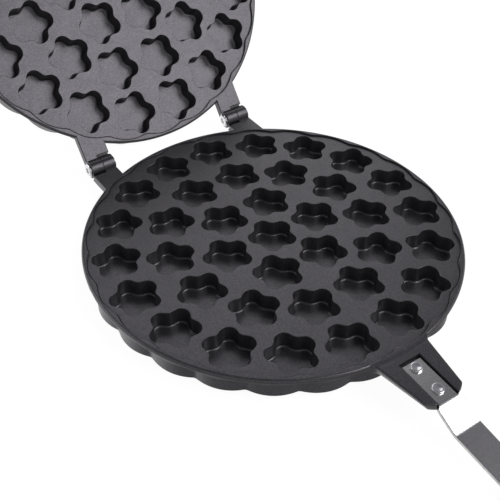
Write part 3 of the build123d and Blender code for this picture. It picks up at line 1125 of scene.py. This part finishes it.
def grip_rows():
    """Sections of cos and sin to a power, squarer above, from the mouth's rounded rim to the end."""
    angle = np.linspace(0, 2 * math.pi, grip_columns, endpoint=False)
    power = np.where(np.sin(angle) > 0, face_power, crown_power)
    flat = np.sign(np.cos(angle)) * np.abs(np.cos(angle)) ** power
    lift = np.sign(np.sin(angle)) * np.abs(np.sin(angle)) ** power
    thickness = grip_face - grip_outer
    middle = grip_face - face_share * thickness
    reach = np.where(lift > 0, face_share * thickness, (1 - face_share) * thickness)

    def section(y, half, reach):
        """One superellipse at y, half wide, reaching above and below its widest line."""
        return np.column_stack((half * flat, np.full(grip_columns, y), middle + reach * lift))

    rows = []
    for out, drop in reversed(quarter(5)):
        y, inset = mouth_y - grip_edge * (1 - out), grip_edge * drop
        rows.append(section(y, grip_half_at(y) - inset, reach - inset))
    for y in np.linspace(mouth_y - grip_edge - 2, grip_end_y + end_half, grip_stations):
        rows.append(section(y, grip_half_at(y), reach))
    for share in np.sin(np.linspace(0, math.pi / 2, end_stations))[1:]:
        narrow = math.sqrt(max(1 - share**2, 0))
        thin = max(1 - share**end_power, 0) ** 0.25
        rows.append(section(grip_end_y + end_half * (1 - share), end_half * narrow, reach * thin))
    return np.array(rows)


grip = grip_rows()
grip_patches = [grid(grip, wrap=True), cap(grip[0])]
print("grip grid", grip.shape[:2])

# %% [markdown]
# ## Holes in the grips
# Each grip has a hole to hang it by and a recess for its screw. Both cross the
# grid's rows, so here a boolean cut is the simpler way. The tools are trumpets: a
# straight bore that flares at the surface leaves the rounded edge of a mould.

# %% Cutting holes
hole_columns = 48
hang_radius, hang_inset, hang_flare = 5.0, 13.0, 1.2
crown_fall = 0.9            # the crown lies this much lower at the hole's edge
screw_inset, recess_depth, recess_radius, recess_flare = 42.0, 4.4, 4.0, 0.8
hang_y = grip_end_y + hang_inset
screw_y = mouth_y - screw_inset
screw_seat = grip_outer + recess_depth


def upright_at(y):
    """Axis along the casting's third axis at a place on the handle."""
    return lambda p: p + (0, y, 0)


def cutter(name, profile, y, place):
    """A spun tool that is only used to cut."""
    tool = new_piece(name, [spun(profile, hole_columns, upright_at(y))], place)
    tool.modifiers.clear()
    return tool


def cut(piece, tool):
    """Takes the tool's volume out of the piece, then throws the tool away."""
    step = piece.modifiers.new("cut", "BOOLEAN")
    step.operation, step.solver, step.object = "DIFFERENCE", "EXACT", tool
    piece.modifiers.move(len(piece.modifiers) - 1, 0)
    view = bpy.context.evaluated_depsgraph_get()
    even = piece.modifiers["even shading"]
    even.show_viewport = False
    view.update()
    mesh = bpy.data.meshes.new_from_object(piece.evaluated_get(view))
    even.show_viewport = True
    piece.modifiers.remove(step)
    old, piece.data = piece.data, mesh
    mesh.name = piece.name
    bpy.data.meshes.remove(old)
    bpy.data.objects.remove(tool)
    mesh.shade_smooth()
    mesh.set_sharp_from_angle(angle=crease)


print("holes are cut with", hole_columns, "columns")

# %% [markdown]
# ## Hole tools
# The tools' profiles reach out past the grip on each side, so no face of a tool
# lies in a face of the grip, which a boolean can't settle.

# %% Hang hole and screw recess
def hang_tool(place):
    """Bore with a flare at each face of the grip."""
    below, above = grip_outer - 3, grip_face + 2
    profile = [(0, below), (hang_radius + 4, below)]
    for out, drop in quarter():
        profile.append((hang_radius + hang_flare * (1 - out), grip_outer + crown_fall + hang_flare * drop))
    for out, drop in quarter():
        profile.append((hang_radius + hang_flare * drop, grip_face - hang_flare * (1 - out)))
    profile += [(hang_radius + hang_flare + 0.2, above), (0, above)]
    return cutter("hang_tool", profile, hang_y, place)


def recess_tool(place):
    """Blind bore for the screw's head, flared at the crowned side."""
    below = grip_outer - 3
    profile = [(0, below), (recess_radius + 1.2, below)]
    for out, drop in quarter():
        profile.append((recess_radius + recess_flare * (1 - out), grip_outer + 0.1 + recess_flare * drop))
    profile += [(recess_radius, screw_seat), (0, screw_seat)]
    return cutter("recess_tool", profile, screw_y, place)


print("hang hole at", round(hang_y, 1), "and screw at", round(screw_y, 1), "mm along the handle")

# %% [markdown]
# ## Grip screws
# A pan-head screw sits at the bottom of each recess. Its shank is hidden in the
# moulding, so the spun head stands for the whole screw.

# %% Screw head
screw_head_radius, screw_head_height = 3.6, 2.4
screw_head_edge = 1.1


def screw_patches():
    """Pan head seated in the recess."""
    top, bottom = screw_seat - screw_head_height, screw_seat + 0.2
    head = rounded_disc(screw_head_radius, top, bottom, screw_head_edge, 0.1)
    return [spun(head, hole_columns, upright_at(screw_y))]


screw_head = screw_patches()
print("screw head grid has", len(screw_head[0][0]), "points")

# %% [markdown]
# ## Phenolic resin
# The grips are moulded from black phenolic. Fresh from the mould it is half matt,
# with a faint orange peel that a plain roughness can't give, so two sizes of noise
# go into the bump, and the coarse one also into the roughness.

# %% Phenolic
def phenolic():
    """Black moulded resin: half matt, a faint orange peel and a finer tooth."""
    material, nodes, links, shader, place = new_material("black_phenolic")
    peel = noise(nodes, links, place, 1.6)
    tooth = noise(nodes, links, place, 0.3, detail=3.0)
    colour = ramp(nodes, links, tooth, [(0.3, (0.010, 0.010, 0.011)), (0.7, (0.020, 0.020, 0.021))])
    links.new(colour, shader.inputs["Base Color"])
    rough = ramp(nodes, links, peel, [(0.3, grey(0.30)), (0.7, grey(0.40))])
    links.new(rough, shader.inputs["Roughness"])
    bump(nodes, links, shader, [(peel, 0.2, 0.05), (tooth, 0.25, 0.02)])
    return material


resin = phenolic()
print("phenolic has", len(resin.node_tree.nodes), "nodes")

# %% [markdown]
# ## Grips in place
# The tools are cut out before the finish goes on, and thrown away. Each grip and
# its screw ride with the plate that they belong to.

# %% Grips and their screws
for half, body, place in halves:
    handle = new_piece(half + "_moulded_grip", grip_patches, place)
    cut(handle, hang_tool(place))
    cut(handle, recess_tool(place))
    finish_piece(handle, body, half + "_grip", resin)
    screw = new_piece(half + "_grip_screw_head", screw_head, place)
    finish_piece(screw, body, half + "_grip_screw", zinc)

# %% [markdown]
# ## Floor
# The open pan stands on the rear edge of its plate and on the lower grip, so the
# floor is a white plane that touches both. A real white sweep needs a lamp of its
# own to burn out to white, and that lamp would grey the black coating. So the floor
# glows evenly to the eye, and what it throws on the pan is set apart from that.

# %% Floor
floor_glow = 0.95
side_bounce, front_bounce = 0.95, 0.30
fade_from, fade_to = -0.45, 0.1             # Y of the way from floor to pan, over which they fade
floor_half = 60000.0        # mm, far enough to reach the horizon
floor_gap = 0.05            # mm, keeps the floor off the pieces that stand on it
rest_rear_y = 103.0         # the plate's rear edge, where the floor touches it


def floor_material():
    """Even glow for camera rays; for others it fades from the side's share to the front's."""
    material, nodes, links, shader, _ = new_material("white_sweep")
    shader.inputs["Base Color"].default_value = (*grey(0.12), 1)
    shader.inputs["Roughness"].default_value = 0.9
    shader.inputs["Emission Color"].default_value = (1, 1, 1, 1)
    seen = nodes.new("ShaderNodeLightPath").outputs["Is Camera Ray"]
    parts = nodes.new("ShaderNodeSeparateXYZ")
    links.new(nodes.new("ShaderNodeNewGeometry").outputs["Incoming"], parts.inputs["Vector"])
    lit = nodes.new("ShaderNodeMapRange")
    lit.inputs["From Min"].default_value = fade_from
    lit.inputs["From Max"].default_value = fade_to
    lit.inputs["To Min"].default_value = side_bounce
    lit.inputs["To Max"].default_value = front_bounce
    links.new(parts.outputs["Y"], lit.inputs["Value"])
    glow = nodes.new("ShaderNodeMix")
    links.new(seen, glow.inputs["Factor"])
    links.new(lit.outputs["Result"], glow.inputs["A"])
    glow.inputs["B"].default_value = floor_glow
    links.new(glow.outputs["Result"], shader.inputs["Emission Strength"])
    return material


grip_rest = raised(grip.reshape(-1, 3))
floor_tilt = float((grip_rest[:, 2] / (grip_rest[:, 1] - rest_rear_y)).max())
corners = np.array([(-1, -1), (1, -1), (1, 1), (-1, 1)]) * floor_half
floor_points = np.column_stack((corners, floor_tilt * (corners[:, 1] - rest_rear_y) - floor_gap))
floor_mesh = bpy.data.meshes.new("floor")
floor_mesh.from_pydata((floor_points * MM).tolist(), [], [(0, 1, 2, 3)])
floor = bpy.data.objects.new("floor", floor_mesh)
bpy.context.scene.collection.objects.link(floor)
floor.data.materials.append(floor_material())
floor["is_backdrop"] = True
print("floor leans by", round(math.degrees(math.atan(floor_tilt)), 2), "degrees")

# %% [markdown]
# ## Sky and soft boxes
# A black coating shows little but what it mirrors, so each surface gets something
# to mirror. One box in front on the right serves the open lid and the cranked
# strap, one behind serves the webs of the lower plate, and one low on the left the
# rims. Between them a dim sky keeps the walls of the cells from going black.

# %% Sky and lights
def studio_sky(stops):
    """Radiance as a ramp over the sine of the elevation, brightest low down; plain white to the eye."""
    sky = bpy.data.worlds.new("studio")
    sky.use_nodes = True
    nodes, links = sky.node_tree.nodes, sky.node_tree.links
    place = nodes.new("ShaderNodeTexCoord")
    parts = nodes.new("ShaderNodeSeparateXYZ")
    links.new(place.outputs["Generated"], parts.inputs["Vector"])
    colour = ramp(nodes, links, parts.outputs["Z"], stops)
    seen = nodes.new("ShaderNodeLightPath").outputs["Is Camera Ray"]
    links.new(mixed(nodes, links, seen, colour, (1, 1, 1)), nodes["Background"].inputs["Color"])
    return sky


bpy.context.scene.world = studio_sky([
    (0.0, grey(0.85)),
    (0.22, grey(0.60)),
    (0.50, (0.27, 0.27, 0.28)),
    (1.0, (0.15, 0.147, 0.17)),
])
light_target = Vector((0, 0, 0.05))         # metres, a little above the plate


def soft_box(name, direction, distance, size, radiance):
    """Area light that faces the pan; power = radiance * pi * area, so radiance is what a mirror shows."""
    light = bpy.data.lights.new(name, "AREA")
    light.shape = "RECTANGLE"
    light.size, light.size_y = size
    light.energy = radiance * math.pi * size[0] * size[1]
    lamp = bpy.data.objects.new(name, light)
    bpy.context.scene.collection.objects.link(lamp)
    direction = Vector(direction).normalized()
    lamp.location = light_target + direction * distance
    lamp.rotation_euler = direction.to_track_quat("Z", "Y").to_euler()
    return lamp


soft_box("key_box", direction=(0.44, -0.58, 0.69), distance=1.6, size=(1.25, 1.1), radiance=3.1)
soft_box("left_box", direction=(-0.66, 0.60, 0.40), distance=1.8, size=(1.2, 0.8), radiance=1.3)
soft_box("back_box", direction=(0.36, 0.68, 0.64), distance=1.8, size=(1.35, 1.15), radiance=0.80)

# %% [markdown]
# ## Sizes
# The pieces must stay inside the solids that they replace, so the box of the whole
# pan is measured again and kept beside the one from the start.

# %% Measure the sizes again
now_low, now_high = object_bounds()
growth = np.subtract([*now_low, *now_high], [*cad_low, *cad_high]) / MM
print("grew by", growth.round(2).tolist())
